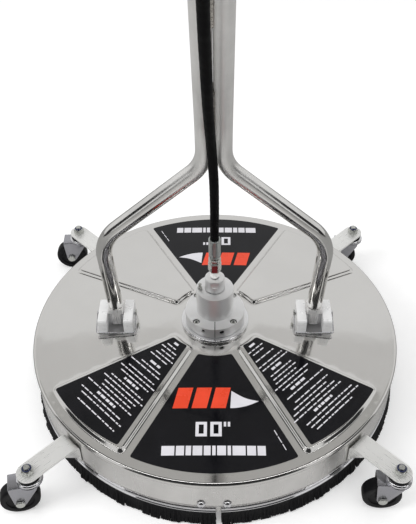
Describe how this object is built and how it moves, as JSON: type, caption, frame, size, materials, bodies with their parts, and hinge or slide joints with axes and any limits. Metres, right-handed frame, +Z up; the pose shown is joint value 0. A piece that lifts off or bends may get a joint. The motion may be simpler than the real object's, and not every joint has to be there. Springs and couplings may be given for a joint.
{
  "type": "rotary surface cleaner",
  "caption": "Round stainless pressure-washing deck on swivel casters, with a spinning spray bar, a brush skirt and a folding tube handle with a trigger gun.",
  "frame": {"origin": "floor plane under the middle of the object's bounding box", "axes": "+Z up, -Y towards the operator, +X to the operator's right"},
  "size_m": [0.6266, 0.63, 1.026],
  "materials": {
    "deck_steel": "mirror-satin stainless sheet",
    "wall_steel": "satin stainless sheet",
    "tube_steel": "polished stainless tube",
    "aluminium": "brushed aluminium",
    "machined_aluminium": "turned aluminium",
    "chrome": "polished",
    "zinc": "zinc plated",
    "bearing_steel": "ground",
    "brass": "machined",
    "black_rubber": "matt black",
    "brush_nylon": "nylon bristles",
    "black_plastic": "moulded",
    "red_plastic": "moulded",
    "wheel_black": "hard black wheel"
  },
  "bodies": {
    "deck": {"deck_cover": "deck_steel", "side_wall": "wall_steel", "brush_channel_left": "aluminium", "brush_strip_left": "brush_nylon", "wall_screw_left": "chrome", "brush_channel_right": "aluminium", "brush_strip_right": "brush_nylon", "wall_screw_right": "chrome", "hub_base_ring": "chrome", "swivel_housing": "machined_aluminium", "flange_screw_1": "zinc", "flange_screw_2": "zinc", "flange_screw_3": "zinc", "flange_screw_4": "zinc", "grease_nipple": "zinc", "lower_bearing": "bearing_steel", "upper_bearing": "bearing_steel", "shaft_seal": "black_rubber", "inlet_stem": "machined_aluminium", "hose_nut": "zinc", "hose_ferrule_lower": "zinc", "clevis_left": "aluminium", "clevis_right": "aluminium", "caster_arm_front_left": "aluminium", "caster_bolt_front_left": "zinc", "caster_arm_front_right": "aluminium", "caster_bolt_front_right": "zinc", "caster_arm_back_left": "aluminium", "caster_bolt_back_left": "zinc", "caster_arm_back_right": "aluminium", "caster_bolt_back_right": "zinc"},
    "rotor": {"rotor_shaft": "bearing_steel", "spray_bar": "tube_steel", "nozzle_left": "brass", "nozzle_right": "brass"},
    "handle": {"handle_tube_left": "tube_steel", "handle_tube_right": "tube_steel", "hand_grip_left": "black_rubber", "hand_grip_right": "black_rubber", "gun_body": "black_plastic", "gun_bracket": "tube_steel", "gun_inlet": "brass", "hose_end_upper": "zinc", "pressure_hose": "black_rubber"},
    "trigger": {"gun_trigger": "red_plastic"},
    "lock_pin_left": {"lock_pin_left": "chrome"},
    "lock_pin_right": {"lock_pin_right": "chrome"},
    "fork_front_left": {"caster_fork_front_left": "zinc", "caster_axle_front_left": "zinc"},
    "wheel_front_left": {"caster_wheel_front_left": "wheel_black"},
    "fork_front_right": {"caster_fork_front_right": "zinc", "caster_axle_front_right": "zinc"},
    "wheel_front_right": {"caster_wheel_front_right": "wheel_black"},
    "fork_back_left": {"caster_fork_back_left": "zinc", "caster_axle_back_left": "zinc"},
    "wheel_back_left": {"caster_wheel_back_left": "wheel_black"},
    "fork_back_right": {"caster_fork_back_right": "zinc", "caster_axle_back_right": "zinc"},
    "wheel_back_right": {"caster_wheel_back_right": "wheel_black"}
  },
  "joints": [
    {"name": "rotor_spin", "type": "hinge", "parent": "deck", "child": "rotor", "pos_m": [0.00826, 0.00996, 0.053], "axis": [0, 0, 1], "continuous": true},
    {"name": "handle_fold", "type": "hinge", "parent": "deck", "child": "handle", "pos_m": [0.00826, 0.01456, 0.1327], "axis": [-1, 0, 0], "range_deg": [0, 85], "deforming": ["pressure_hose"]},
    {"name": "trigger_pull", "type": "hinge", "parent": "handle", "child": "trigger", "pos_m": [0.00076, -0.27699, 0.94431], "axis": [1, 0, 0], "range_deg": [0, 5], "stiffness_Nm_per_rad": 0.6, "springref_deg": -8.59},
    {"name": "pin_swing_left", "type": "hinge", "parent": "deck", "child": "lock_pin_left", "pos_m": [-0.15624, 0.01456, 0.1327], "axis": [-1, 0, 0], "range_deg": [0, 78]},
    {"name": "pin_swing_right", "type": "hinge", "parent": "deck", "child": "lock_pin_right", "pos_m": [0.17276, 0.01456, 0.1327], "axis": [-1, 0, 0], "range_deg": [0, 78]},
    {"name": "caster_swivel_front_left", "type": "hinge", "parent": "deck", "child": "fork_front_left", "pos_m": [-0.26274, -0.26104, 0.067], "axis": [0, 0, 1], "continuous": true},
    {"name": "wheel_spin_front_left", "type": "hinge", "parent": "fork_front_left", "child": "wheel_front_left", "pos_m": [-0.28223, -0.26554, 0.03], "axis": [0.225, -0.9744, 0], "continuous": true},
    {"name": "caster_swivel_front_right", "type": "hinge", "parent": "deck", "child": "fork_front_right", "pos_m": [0.27926, -0.26104, 0.067], "axis": [0, 0, 1], "continuous": true},
    {"name": "wheel_spin_front_right", "type": "hinge", "parent": "fork_front_right", "child": "wheel_front_right", "pos_m": [0.25927, -0.26034, 0.03], "axis": [-0.0349, -0.9994, 0], "continuous": true},
    {"name": "caster_swivel_back_left", "type": "hinge", "parent": "deck", "child": "fork_back_left", "pos_m": [-0.26274, 0.28096, 0.067], "axis": [0, 0, 1], "continuous": true},
    {"name": "wheel_spin_back_left", "type": "hinge", "parent": "fork_back_left", "child": "wheel_back_left", "pos_m": [-0.28273, 0.28026, 0.03], "axis": [0.0349, -0.9994, 0], "continuous": true},
    {"name": "caster_swivel_back_right", "type": "hinge", "parent": "deck", "child": "fork_back_right", "pos_m": [0.27926, 0.28096, 0.067], "axis": [0, 0, 1], "continuous": true},
    {"name": "wheel_spin_back_right", "type": "hinge", "parent": "fork_back_right", "child": "wheel_back_right", "pos_m": [0.25941, 0.27853, 0.03], "axis": [0.1219, -0.9925, 0], "continuous": true}
  ]
}
